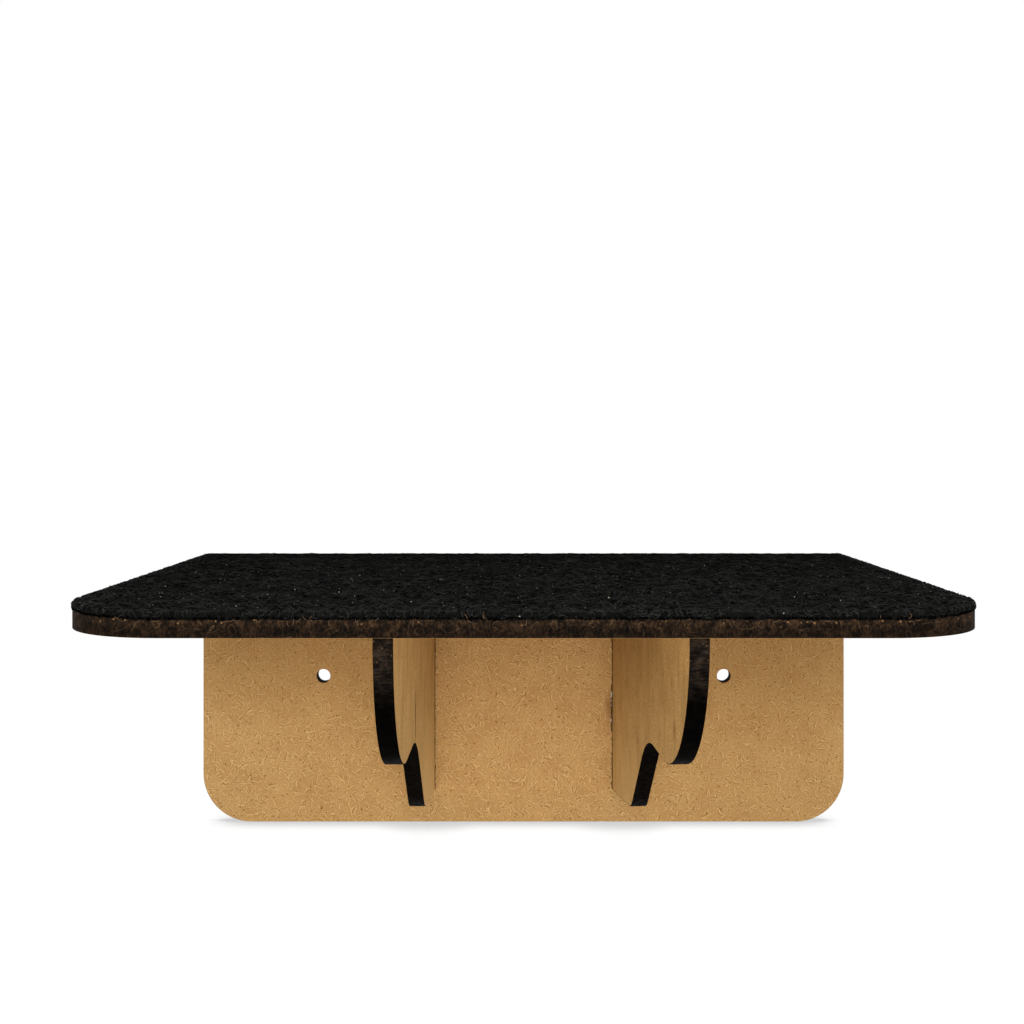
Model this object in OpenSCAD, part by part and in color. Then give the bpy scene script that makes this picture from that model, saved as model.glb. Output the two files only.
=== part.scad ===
// Cat wall shelf: a carpeted board on a back plate, carried by two curved brackets.
// Every rigid piece is cut from flat sheet, slotted together with tabs and glued.
// The wall is the plane y = 0, the shelf reaches towards -Y, and +Z is up.
// The origin lies on the wall, midway between the two screw holes.

/* [Shelf board] */
// Width of the board along the wall
shelf_w = 400; // [330:1:600]
// Reach of the board from the wall
shelf_d = 300; // [280:1:400]
// Thickness of the board
board_t = 9; // [6:0.5:18]
// Radius of the two front corners of the board
front_corner_r = 48; // [5:1:100]

/* [Carpet] */
// Thickness of the carpet glued on the board
carpet_t = 3.5; // [2:0.5:10]
// How far the carpet's rear edge stays off the wall
carpet_setback = 0.5; // [0:0.1:5]

/* [Back plate] */
// Height of the back plate below the board
plate_h = 155; // [145:1:300]
// Thickness of the back plate
plate_t = 9; // [6:0.5:18]
// Radius of the two bottom corners of the back plate
plate_corner_r = 30; // [5:1:60]

/* [Wall screws] */
// Distance between the two screw holes
screw_spacing = 250; // [170:1:300]
// Diameter of a screw hole
screw_hole_d = 8.5; // [4:0.5:12]
// Depth of the screw holes below the board's underside
screw_drop = 64; // [30:1:110]

/* [Brackets] */
// Thickness of a bracket
bracket_t = 9; // [6:0.5:18]
// Distance between the inner faces of the brackets at the back plate
bracket_gap = 111; // [60:1:140]
// Angle by which the left bracket's front end swings outwards
left_toe_out = 0.3; // [0:0.1:6]
// Angle by which the right bracket's front end swings outwards
right_toe_out = 3.7; // [0:0.1:6]
// Reach of a bracket from the back plate to its nose
bracket_reach = 261; // [235:1:268]
// Height of a bracket along the back plate
bracket_h = 135; // [122:1:142]
// Height of the arm under the board
arm_h = 73; // [60:1:82]
// Radius of the round nose of the arm
nose_r = 68; // [20:1:72]
// Distance from the back plate to where the leg leaves the arm
leg_root = 138; // [110:1:150]
// Distance from the back plate to the foot of the leg
foot_reach = 81; // [50:1:100]
// Rise of the leg's bottom edge from the back plate to the foot
foot_rise = 10; // [0:1:20]
// Radius of the foot
foot_r = 22; // [5:1:25]
// Radius of the hollow between arm and leg
cove_r = 57; // [5:1:60]

/* [Tabs and slots] */
// Length of a bracket's tab in the board
board_tab_l = 40; // [20:1:60]
// Distance from the back plate to the middle of the rear tab in the board
rear_tab_reach = 50; // [35:1:80]
// Distance from the back plate to the middle of the front tab in the board
front_tab_reach = 180; // [130:1:200]
// Height of a bracket's tab in the back plate
plate_tab_h = 28; // [14:1:36]
// Drop from the board to the middle of the upper tab in the back plate
upper_tab_drop = 28; // [22:1:38]
// Drop from the board to the middle of the lower tab in the back plate
lower_tab_drop = 84; // [78:1:100]
// Width of a tab on the back plate's top edge
edge_tab_w = 50; // [20:1:80]
// Number of tabs on the back plate's top edge
edge_tabs = 3; // [2:1:4]
// Distance from the back plate's end to its first top tab
edge_tab_inset = 40; // [32:1:60]
// Gap on each side of a tab in its slot
slot_clear = 0.15; // [0.05:0.05:0.5]
// How far a tab's end stays below the face that it comes through
tab_shy = 0.2; // [0.1:0.1:1]

/* [Hidden] */
$fn = 96;
// How far a cut runs past the faces that it goes through
cut_over = 1;
// Width of the back plate, flush with the board's sides
plate_w = shelf_w;
// Height of the board's underside above the screw holes
board_z = screw_drop;
// Sides of the shelf, as signs along X
LEFT = -1;
RIGHT = 1;
SIDES = [LEFT, RIGHT];
// Depths of the tabs in the board and in the back plate
board_tab_depth = board_t - tab_shy;
plate_tab_depth = plate_t - tab_shy;
// Corners of a bracket's leg, as distance from the back plate and drop below the board
leg_top = [leg_root, arm_h];
leg_foot = [foot_reach, bracket_h - foot_rise];
leg_heel = [0, bracket_h];
// A point on the arm's straight underside, in front of the leg
arm_front = [bracket_reach - nose_r, arm_h];

// Outward swing of the bracket on one side
function toe_out(side) = side == LEFT ? left_toe_out : right_toe_out;

// Unit vector from one point to another
function heading(from, to) = (to - from) / norm(to - from);

// Angle between the two edges that meet at a corner
function corner_angle(before, corner, after) = acos(heading(corner, before) * heading(corner, after));

// Distance from a corner to the points where a rounding of radius r begins
function tangent_run(before, corner, after, r) = r / tan(corner_angle(before, corner, after) / 2);

// Centre of the rounding of radius r in a corner
function round_centre(before, corner, after, r) =
    let (middle = heading(corner, before) + heading(corner, after))
    corner + middle / norm(middle) * r / sin(corner_angle(before, corner, after) / 2);

// Place along X of one tab on the back plate's top edge
function edge_tab_x(i) =
    let (first = -plate_w / 2 + edge_tab_inset + edge_tab_w / 2)
    first - 2 * first * i / (edge_tabs - 1);

// Sheet from y = 0 down to y = -depth, with its two far corners rounded
module round_ended_sheet(width, depth, corner_r) {
    straight = depth - corner_r;
    translate([-width / 2, -straight]) square([width, straight]);
    translate([-width / 2 + corner_r, -depth]) square([width - 2 * corner_r, corner_r]);
    for (side = SIDES)
        translate([side * (width / 2 - corner_r), -straight]) circle(corner_r);
}

// Puts a drawing made at a bracket's outer rear corner in that bracket's place
module at_bracket(side) {
    translate([side * (bracket_gap / 2 + bracket_t), -plate_t, 0])
        rotate([0, 0, side * toe_out(side)])
            children();
}

// Places of a bracket's two tabs in the board, from the back plate outwards
module each_board_tab() {
    for (reach = [rear_tab_reach, front_tab_reach])
        translate([reach, 0]) children();
}

// Places of a bracket's two tabs in the back plate, from the board downwards
module each_plate_tab() {
    for (drop = [upper_tab_drop, lower_tab_drop])
        translate([0, drop]) children();
}

// Arm of a bracket, with its round nose
module arm_outline() {
    straight = bracket_reach - nose_r;
    square([straight, arm_h]);
    square([bracket_reach, arm_h - nose_r]);
    translate([straight, arm_h - nose_r])
        intersection() {
            circle(nose_r);
            square(nose_r);
        }
}

// Leg of a bracket, with its round foot
module leg_outline() {
    run = tangent_run(leg_top, leg_foot, leg_heel, foot_r);
    centre = round_centre(leg_top, leg_foot, leg_heel, foot_r);
    front_start = leg_foot + run * heading(leg_foot, leg_top);
    bottom_start = leg_foot + run * heading(leg_foot, leg_heel);
    polygon([[0, 0], [leg_root, 0], leg_top, front_start, centre, bottom_start, leg_heel]);
    translate(centre) circle(foot_r);
}

// Web that rounds the hollow between arm and leg, drawn from well inside both
module cove_outline() {
    run = tangent_run(arm_front, leg_top, leg_foot, cove_r);
    centre = round_centre(arm_front, leg_top, leg_foot, cove_r);
    arm_start = leg_top + run * heading(leg_top, arm_front);
    leg_start = leg_top + run * heading(leg_top, leg_foot);
    difference() {
        polygon([[0, 0], arm_start, centre, leg_start]);
        translate(centre) circle(cove_r);
    }
}

// Flat outline of a bracket: distance from the back plate, and drop below the board
module bracket_outline() {
    arm_outline();
    leg_outline();
    cove_outline();
    each_board_tab()
        translate([-board_tab_l / 2, -board_tab_depth]) square([board_tab_l, board_tab_depth]);
    each_plate_tab()
        translate([-plate_tab_depth, -plate_tab_h / 2]) square([plate_tab_depth, plate_tab_h]);
}

// One bracket, standing in its slots
module bracket(side) {
    inner = side == LEFT ? 0 : -bracket_t;
    translate([0, 0, board_z])
        at_bracket(side)
            translate([inner, 0, 0])
                rotate([90, 0, 90])
                    linear_extrude(bracket_t)
                        rotate(180) bracket_outline();
}

// Slots in the board for one bracket's tabs, in plan
module board_slots(side) {
    inner = side == LEFT ? 0 : -bracket_t;
    length = board_tab_l + 2 * slot_clear;
    width = bracket_t + 2 * slot_clear;
    at_bracket(side)
        translate([inner - slot_clear, 0])
            rotate(-90)
                each_board_tab()
                    translate([-length / 2, 0]) square([length, width]);
}

// Notches in the board's rear edge for the back plate's tabs, in plan
module edge_notches() {
    width = edge_tab_w + 2 * slot_clear;
    for (i = [0 : edge_tabs - 1])
        translate([edge_tab_x(i) - width / 2, -plate_t - slot_clear])
            square([width, plate_t + slot_clear + cut_over]);
}

// Slots in the back plate for one bracket's tabs, as wide as the turned tabs need
module plate_slots(side) {
    turned = bracket_t * cos(toe_out(side)) + plate_tab_depth * sin(toe_out(side));
    width = turned + 2 * slot_clear;
    height = plate_tab_h + 2 * slot_clear;
    outer = side * (bracket_gap / 2 + bracket_t + slot_clear);
    left_end = side == LEFT ? outer : outer - width;
    translate([left_end, board_z])
        mirror([0, 1])
            each_plate_tab()
                translate([0, -height / 2]) square([width, height]);
}

// Carpet on top of the board
module carpet_mat() {
    color("#171719")
        translate([0, 0, board_z + board_t])
            linear_extrude(carpet_t)
                translate([0, -carpet_setback])
                    round_ended_sheet(shelf_w, shelf_d - carpet_setback, front_corner_r);
}

// Shelf board, with slots for the brackets and notches for the back plate
module shelf_board() {
    color("#3a2a1f")
        translate([0, 0, board_z])
            linear_extrude(board_t)
                difference() {
                    round_ended_sheet(shelf_w, shelf_d, front_corner_r);
                    for (side = SIDES)
                        board_slots(side);
                    edge_notches();
                }
}

// Back plate, with tabs on its top edge, slots for the brackets and two screw holes
module back_plate() {
    color("#b58a52")
        difference() {
            rotate([90, 0, 0])
                linear_extrude(plate_t)
                    difference() {
                        union() {
                            translate([0, board_z]) round_ended_sheet(plate_w, plate_h, plate_corner_r);
                            for (i = [0 : edge_tabs - 1])
                                translate([edge_tab_x(i) - edge_tab_w / 2, board_z])
                                    square([edge_tab_w, board_tab_depth]);
                        }
                        for (side = SIDES)
                            plate_slots(side);
                    }
            for (side = SIDES)
                translate([side * screw_spacing / 2, cut_over, 0])
                    rotate([90, 0, 0])
                        cylinder(h = plate_t + 2 * cut_over, d = screw_hole_d);
        }
}

// Bracket on the left of the shelf
module left_bracket() {
    color("#a67c48") bracket(LEFT);
}

// Bracket on the right of the shelf
module right_bracket() {
    color("#a67c48") bracket(RIGHT);
}

carpet_mat();
shelf_board();
back_plate();
left_bracket();
right_bracket();
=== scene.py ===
"""Cat wall shelf: a carpeted board on a back plate, carried by two curved brackets.

Every object is in metres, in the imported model's frame: the wall is the plane y = 0,
the shelf reaches towards -Y, and +Z is up.
"""

import logging
import math
import random
from collections.abc import Iterable, Sequence
from dataclasses import dataclass
from enum import Enum
from typing import Any

import bmesh
import bpy
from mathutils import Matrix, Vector, noise


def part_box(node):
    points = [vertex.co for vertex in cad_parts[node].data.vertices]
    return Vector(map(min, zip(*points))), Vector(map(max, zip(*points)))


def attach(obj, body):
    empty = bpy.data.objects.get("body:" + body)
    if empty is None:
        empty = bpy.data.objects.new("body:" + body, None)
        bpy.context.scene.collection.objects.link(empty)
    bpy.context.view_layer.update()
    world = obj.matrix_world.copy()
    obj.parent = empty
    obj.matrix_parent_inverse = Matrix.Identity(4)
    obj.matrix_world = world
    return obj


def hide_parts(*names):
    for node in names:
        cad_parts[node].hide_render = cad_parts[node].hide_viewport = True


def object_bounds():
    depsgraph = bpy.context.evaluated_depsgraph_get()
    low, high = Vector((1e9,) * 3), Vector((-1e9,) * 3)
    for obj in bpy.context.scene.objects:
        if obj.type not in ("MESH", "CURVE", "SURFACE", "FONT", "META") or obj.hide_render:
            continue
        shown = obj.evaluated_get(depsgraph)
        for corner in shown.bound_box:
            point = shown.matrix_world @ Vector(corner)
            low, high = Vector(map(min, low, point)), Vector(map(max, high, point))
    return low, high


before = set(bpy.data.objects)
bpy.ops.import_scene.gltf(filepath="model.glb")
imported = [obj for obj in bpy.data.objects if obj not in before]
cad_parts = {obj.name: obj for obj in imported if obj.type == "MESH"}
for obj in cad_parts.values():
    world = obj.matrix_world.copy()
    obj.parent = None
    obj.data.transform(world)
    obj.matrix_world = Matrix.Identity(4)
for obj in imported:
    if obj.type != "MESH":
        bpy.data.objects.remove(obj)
CAD_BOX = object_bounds()

LOG = logging.getLogger("cat_wall_shelf")
MM = 0.001
ROOT = "root"
BOARD_LOW, BOARD_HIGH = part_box("shelf_board")
PLATE_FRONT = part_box("back_plate")[0].y
EVERY_WAY = Vector((1, 1, 1))
QUARTER_TURN = math.pi / 2
WHITE = "#ffffff"
# Sockets of a Mix node, whose several kinds of socket share their names
MIX_FACTOR, MIX_FLOAT_A, MIX_FLOAT_B, MIX_COLOUR_A, MIX_COLOUR_B = 0, 2, 3, 6, 7
MIX_FLOAT_RESULT, MIX_COLOUR_RESULT = 0, 2

Colour = tuple[float, float, float, float]
Place = tuple[float, float, float]
Range = tuple[float, float]
Strand = list[Vector]
Socket = bpy.types.NodeSocket
Tree = bpy.types.NodeTree


class Axis(Enum):
    """Direction of a sheet's thickness."""

    X = Vector((1, 0, 0))
    Y = Vector((0, 1, 0))
    Z = Vector((0, 0, 1))


class Slot(Enum):
    """Names of material slots in a record of finishes; no piece here takes its finish from them."""

    FIBREBOARD = "raw_mdf"
    CARPET = "black_carpet"


def linear(code: str) -> Colour:
    """Turns an sRGB colour into a linear one.

    Args:
        code: The colour as a hex code, such as "#c0955e".

    Returns:
        Red, green, blue and an alpha of 1.
    """
    shares = [int(code[i : i + 2], 16) / 255 for i in (1, 3, 5)]
    red, green, blue = (s / 12.92 if s <= 0.04045 else ((s + 0.055) / 1.055) ** 2.4 for s in shares)
    return red, green, blue, 1.0


def per_metre(size_mm: float) -> float:
    """Gives the scale of a texture whose marks are size_mm across."""
    return 1.0 / (size_mm * MM)


def add_node(
    tree: Tree,
    kind: str,
    links: dict[str | int, Any] | None = None,
    stops: Iterable[tuple[float, str]] = (),
    **settings: Any,
) -> bpy.types.NodeOutputs:
    """Adds a node to a tree, with its settings and what its inputs hold.

    Args:
        tree: The tree that gets the node.
        kind: The node's type, without the leading "ShaderNode".
        links: For each input, the socket that feeds it or its plain value.
        stops: Places and hex colours of a colour ramp.
        **settings: The node's own properties.

    Returns:
        The new node's outputs.
    """
    node = tree.nodes.new("ShaderNode" + kind)
    for name, value in settings.items():
        setattr(node, name, value)
    for i, (place, code) in enumerate(stops):
        elements = node.color_ramp.elements
        stop = elements[i] if i < len(elements) else elements.new(place)
        stop.position = place
        stop.color = linear(code)
    for name, source in (links or {}).items():
        if isinstance(source, Socket):
            tree.links.new(source, node.inputs[name])
        else:
            node.inputs[name].default_value = source
    return node.outputs


def new_material(name: str) -> tuple[bpy.types.Material, Tree]:
    """Makes an empty material and returns it with its node tree."""
    material = bpy.data.materials.new(name)
    material.use_nodes = True
    material.node_tree.nodes.clear()
    return material, material.node_tree


def lay_over(tree: Tree, colour: Socket, strength: Socket, share: float, code: str) -> Socket:
    """Lays a tint over a colour.

    Args:
        tree: The material's node tree.
        colour: The colour below.
        strength: Where the tint lies, from 0 to 1.
        share: How much of the colour the tint hides where it is strongest.
        code: The tint's hex code.

    Returns:
        The socket of the mixed colour.
    """
    factor = add_node(tree, "Math", {0: strength, 1: share}, operation="MULTIPLY")[0]
    links = {MIX_FACTOR: factor, MIX_COLOUR_A: colour, MIX_COLOUR_B: linear(code)}
    return add_node(tree, "Mix", links, data_type="RGBA")[MIX_COLOUR_RESULT]


def strongest(tree: Tree, sockets: Sequence[Socket]) -> Socket:
    """Gives the socket of the greatest of several strengths."""
    found = sockets[0]
    for other in sockets[1:]:
        found = add_node(tree, "Math", {0: found, 1: other}, operation="MAXIMUM")[0]
    return found


def between(tree: Tree, value: Socket, none: float, full: float) -> Socket:
    """Turns a value into a strength.

    Args:
        tree: The material's node tree.
        value: The value's socket.
        none: The value at which the strength is 0.
        full: The value at which the strength is 1.

    Returns:
        The socket of the strength, which rises smoothly from 0 to 1.
    """
    links = {"Value": value, "From Min": none, "From Max": full}
    return add_node(tree, "MapRange", links, interpolation_type="SMOOTHSTEP")[0]


def ruffle(tree: Tree, place: Socket, size_mm: float, reach_mm: float) -> Socket:
    """Bends coordinates, so that what is drawn in them comes out wavy.

    Args:
        tree: The material's node tree.
        place: The coordinates.
        size_mm: The size of the waves.
        reach_mm: How far the strongest wave would shift a point.

    Returns:
        The socket of the bent coordinates.
    """
    wave = add_node(tree, "TexNoise", {"Vector": place, "Scale": per_metre(size_mm), "Detail": 0.0})
    off = add_node(tree, "VectorMath", {0: wave["Color"], 1: EVERY_WAY / 2}, operation="SUBTRACT")[0]
    links = {0: off, 1: EVERY_WAY * reach_mm * MM, 2: place}
    return add_node(tree, "VectorMath", links, operation="MULTIPLY_ADD")[0]


@dataclass(frozen=True)
class Surface:
    """How a matt surface takes the light, whatever its colour."""

    roughness: float
    shine: float
    relief: float
    relief_share: float = 0.6

    def close(self, tree: Tree, colour: Socket, height: Socket) -> None:
        """Ends a material with its shader.

        Args:
            tree: The material's node tree.
            colour: The socket of its colour.
            height: The socket of its relief, from 0 to 1.
        """
        relief = {"Height": height, "Strength": self.relief_share, "Distance": self.relief}
        links = {
            "Base Color": colour,
            "Roughness": self.roughness,
            "Specular IOR Level": self.shine,
            "Normal": add_node(tree, "Bump", relief)["Normal"],
        }
        shader = add_node(tree, "BsdfPrincipled", links)["BSDF"]
        add_node(tree, "OutputMaterial", {"Surface": shader})


@dataclass(frozen=True)
class FibreStrokes:
    """One layer of short bent fibres: each cell of a cell pattern holds one, with its shade.

    A fibre fades out between two distances from its cell's middle, counted in cells. Its
    painted shadow lies beside it, and both are full in the core of their width.
    """

    spacing_mm: float
    radius_mm: Range
    width_mm: float
    seed: int
    ends: Range = (0.7, 0.35)
    full_chance: float = 0.8
    shade_aside: float = 0.75
    core: float = 0.2

    def draw(self, tree: Tree, place: Socket, level: Vector) -> tuple[Socket, Socket]:
        """Draws the layer.

        Args:
            tree: The material's node tree.
            place: Coordinates that the fibres lie in.
            level: For each axis, 1 if the fibres bend along it and 0 if not.

        Returns:
            The sockets of the fibres' strength and of their painted shadows' strength.
        """
        shift = Vector((0.37, 0.71, 0.53)) * self.seed
        moved = add_node(tree, "VectorMath", {0: place, 1: shift}, operation="ADD")[0]
        cells = add_node(tree, "TexVoronoi", {"Vector": moved, "Scale": per_metre(self.spacing_mm)})
        chances = add_node(tree, "SeparateColor", {"Color": cells["Color"]})
        middle = EVERY_WAY / 2
        lean = add_node(tree, "VectorMath", {0: cells["Color"], 1: middle}, operation="SUBTRACT")[0]
        flat = add_node(tree, "VectorMath", {0: lean, 1: level}, operation="MULTIPLY")[0]
        way = add_node(tree, "VectorMath", {0: flat}, operation="NORMALIZE")[0]
        least, most = (size * MM for size in self.radius_mm)
        sizes = {"Value": chances["Blue"], "To Min": least, "To Max": most}
        radius = add_node(tree, "MapRange", sizes)[0]
        arm = add_node(tree, "VectorMath", {0: way, "Scale": radius}, operation="SCALE")[0]
        centre = add_node(tree, "VectorMath", {0: cells["Position"], 1: arm}, operation="ADD")[0]
        apart = add_node(tree, "VectorMath", {0: moved, 1: centre}, operation="DISTANCE")["Value"]
        off = add_node(tree, "Math", {0: apart, 1: radius}, operation="SUBTRACT")[0]
        ends = between(tree, cells["Distance"], *self.ends)
        chance = between(tree, chances["Green"], 0.0, self.full_chance)
        shown = add_node(tree, "Math", {0: ends, 1: chance}, operation="MULTIPLY")[0]
        width = self.width_mm * MM
        lines = []
        for aside in (0.0, self.shade_aside * width):
            beside = add_node(tree, "Math", {0: off, 1: aside}, operation="SUBTRACT")[0]
            away = add_node(tree, "Math", {0: beside}, operation="ABSOLUTE")[0]
            line = between(tree, away, width / 2, width / 2 * self.core)
            lines.append(add_node(tree, "Math", {0: line, 1: shown}, operation="MULTIPLY")[0])
        return lines[0], lines[1]


@dataclass(frozen=True)
class Dots:
    """A scatter of small round flecks, each full in its core."""

    spacing_mm: float
    width_mm: float
    seed: int
    core: float = 0.35

    def draw(self, tree: Tree, place: Socket) -> Socket:
        """Draws the flecks in some coordinates and returns the socket of their strength."""
        shift = Vector((0.61, 0.23, 0.47)) * self.seed
        moved = add_node(tree, "VectorMath", {0: place, 1: shift}, operation="ADD")[0]
        cells = add_node(tree, "TexVoronoi", {"Vector": moved, "Scale": per_metre(self.spacing_mm)})
        radius = self.width_mm / self.spacing_mm / 2
        return between(tree, cells["Distance"], radius, radius * self.core)


@dataclass(frozen=True)
class StainShadeAndGlint:
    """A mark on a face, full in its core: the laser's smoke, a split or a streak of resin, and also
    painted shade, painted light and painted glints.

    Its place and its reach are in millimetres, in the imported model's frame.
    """

    centre_mm: Place
    reach_mm: Place
    code: str
    share: float
    core: float = 0.1

    def draw(self, tree: Tree, place: Socket) -> Socket:
        """Draws the mark in some coordinates and returns the socket of its strength."""
        centre, reach = Vector(self.centre_mm) * MM, Vector(self.reach_mm) * MM
        off = add_node(tree, "VectorMath", {0: place, 1: centre}, operation="SUBTRACT")[0]
        scaled = add_node(tree, "VectorMath", {0: off, 1: reach}, operation="DIVIDE")[0]
        apart = add_node(tree, "VectorMath", {0: scaled}, operation="LENGTH")["Value"]
        return between(tree, apart, 1.0, self.core)


@dataclass(frozen=True)
class SandedFibreboard:
    """Raw medium-density fibreboard, sanded and left bare.

    Wood fibres lie tangled in the face, so the eye sees pale curls, each with a painted
    shadow beside it, brown specks of bark, and soft clouds of lighter and darker tan, all quite matt.
    Where the sander ran along it, the face also has long faint streaks and fine cracks.
    """

    name: str
    thickness: Axis
    streak_share: float = 0.0
    stains: tuple[StainShadeAndGlint, ...] = ()
    light_cloud: str = "#c29b63"
    dark_cloud: str = "#b8905a"
    pale_fibre: str = "#dab980"
    # Colour of the fine grit, and of the fibres' painted shadows
    grit_and_fibre_shadow: str = "#8a6535"
    bark: str = "#56381a"
    bright_speck: str = "#f0dcb6"
    streak: str = "#8f6c3e"
    scorched: str = "#7a5228"
    cloud_mm: float = 14.0
    cloud_stops: Range = (0.36, 0.64)
    # Real fibres are about 0.1 mm wide, too fine to show, so they are drawn as bundles
    strokes: tuple[FibreStrokes, ...] = (
        FibreStrokes(spacing_mm=3.0, radius_mm=(3.0, 7.0), width_mm=0.6, seed=1),
        FibreStrokes(spacing_mm=3.5, radius_mm=(4.0, 10.0), width_mm=0.62, seed=2),
        FibreStrokes(spacing_mm=4.2, radius_mm=(5.0, 14.0), width_mm=0.66, seed=3),
        FibreStrokes(spacing_mm=2.6, radius_mm=(2.5, 6.0), width_mm=0.56, seed=4),
        FibreStrokes(spacing_mm=3.8, radius_mm=(4.0, 12.0), width_mm=0.62, seed=5),
    )
    pale_share: float = 0.76
    fibre_shadow_share: float = 0.72
    wave_mm: Range = (5.0, 4.0)
    bark_dots: Dots = Dots(spacing_mm=3.6, width_mm=1.3, seed=6)
    bark_share: float = 0.8
    bright_dots: Dots = Dots(spacing_mm=12.0, width_mm=1.1, seed=7)
    bright_share: float = 0.5
    grit_mm: float = 0.8
    grit_share: float = 0.16
    grit_relief: float = 0.4
    drift_mm: Range = (22.0, 7.0)
    streak_mm: Range = (14.0, 40.0)
    streak_limits: Range = (0.42, 0.66)
    crack_mm: Range = (3.5, 9.0)
    crack_limits: Range = (0.65, 0.73)
    crack_share: float = 0.45
    scorch_share: float = 0.3
    surface: Surface = Surface(roughness=0.8, shine=0.14, relief=0.035 * MM)

    def make(self) -> bpy.types.Material:
        """Builds the material and returns it."""
        material, tree = new_material(self.name)
        place = add_node(tree, "TexCoord")["Object"]
        clouds = {"Vector": place, "Scale": per_metre(self.cloud_mm), "Detail": 3.0}
        cloud = add_node(tree, "TexNoise", clouds)["Fac"]
        stops = zip(self.cloud_stops, (self.dark_cloud, self.light_cloud))
        colour = add_node(tree, "ValToRGB", {"Fac": cloud}, stops=stops)["Color"]
        grits = {"Vector": place, "Scale": per_metre(self.grit_mm), "Detail": 2.0}
        grit = add_node(tree, "TexNoise", grits)["Fac"]
        wavy = ruffle(tree, place, *self.wave_mm)
        level = EVERY_WAY - self.thickness.value
        fibres = [layer.draw(tree, wavy, level) for layer in self.strokes]
        # pale: the fibres; dark: their painted shadows beside them
        pale, dark = (strongest(tree, kind) for kind in zip(*fibres))
        layers = [
            (grit, self.grit_share, self.grit_and_fibre_shadow),
            (dark, self.fibre_shadow_share, self.grit_and_fibre_shadow),
            (pale, self.pale_share, self.pale_fibre),
            (self.bark_dots.draw(tree, place), self.bark_share, self.bark),
            (self.bright_dots.draw(tree, place), self.bright_share, self.bright_speck),
        ]
        if self.streak_share:
            drifting = ruffle(tree, place, *self.drift_mm)
            streaks = self.drawn_out(tree, drifting, self.streak_mm, self.streak_limits)
            cracks = self.drawn_out(tree, drifting, self.crack_mm, self.crack_limits)
            layers.append((streaks, self.streak_share, self.streak))
            layers.append((cracks, self.crack_share, self.bark))
        layers += [(stain.draw(tree, wavy), stain.share, stain.code) for stain in self.stains]
        scorch = add_node(tree, "Attribute", attribute_name="scorch")["Fac"]
        layers.append((scorch, self.scorch_share, self.scorched))
        for strength, share, code in layers:
            colour = lay_over(tree, colour, strength, share, code)
        relief = {0: grit, 1: self.grit_relief, 2: pale}
        height = add_node(tree, "Math", relief, operation="MULTIPLY_ADD")[0]
        self.surface.close(tree, colour, height)
        return material

    def drawn_out(self, tree: Tree, place: Socket, size_mm: Range, limits: Range) -> Socket:
        """Draws upright streaks.

        Args:
            tree: The material's node tree.
            place: Coordinates that they lie in.
            size_mm: Their width and length.
            limits: The noise at which a streak begins, and at which it is full.

        Returns:
            The socket of their strength.
        """
        width, length = size_mm
        stretch = Vector((1, 1, width / length))
        drawn = add_node(tree, "Mapping", {"Vector": place, "Scale": stretch})["Vector"]
        wave = add_node(tree, "TexNoise", {"Vector": drawn, "Scale": per_metre(width), "Detail": 2.0})
        return between(tree, wave["Fac"], *limits)


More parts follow.
